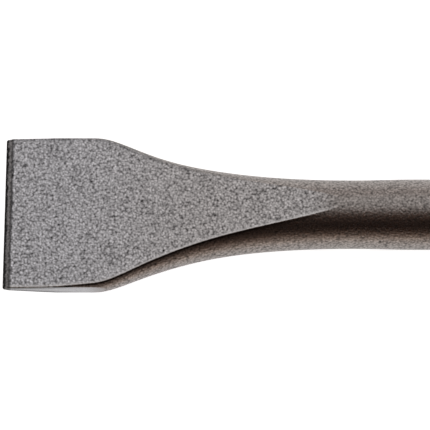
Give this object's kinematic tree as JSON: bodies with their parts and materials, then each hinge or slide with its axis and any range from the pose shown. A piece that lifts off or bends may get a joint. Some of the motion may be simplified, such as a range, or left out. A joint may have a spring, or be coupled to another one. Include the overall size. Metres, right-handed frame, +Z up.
{
  "type": "sds flat chisel",
  "caption": "Flat forged chisel for a hammer drill: wide bevelled blade with long tapering flats, round bar and an 18 mm grooved shank.",
  "frame": {"origin": "on the floor under the middle of the chisel's bounding box, as it lies at rest", "axes": "+X along the chisel's axis towards the struck end, +Y towards the edge of the blade that touches the floor, +Z up"},
  "size_m": [0.28, 0.0404, 0.018],
  "materials": {
    "steel": "shot-blasted grey, ground at the cutting edge"
  },
  "bodies": {
    "root": {"chisel": "steel"}
  },
  "joints": []
}
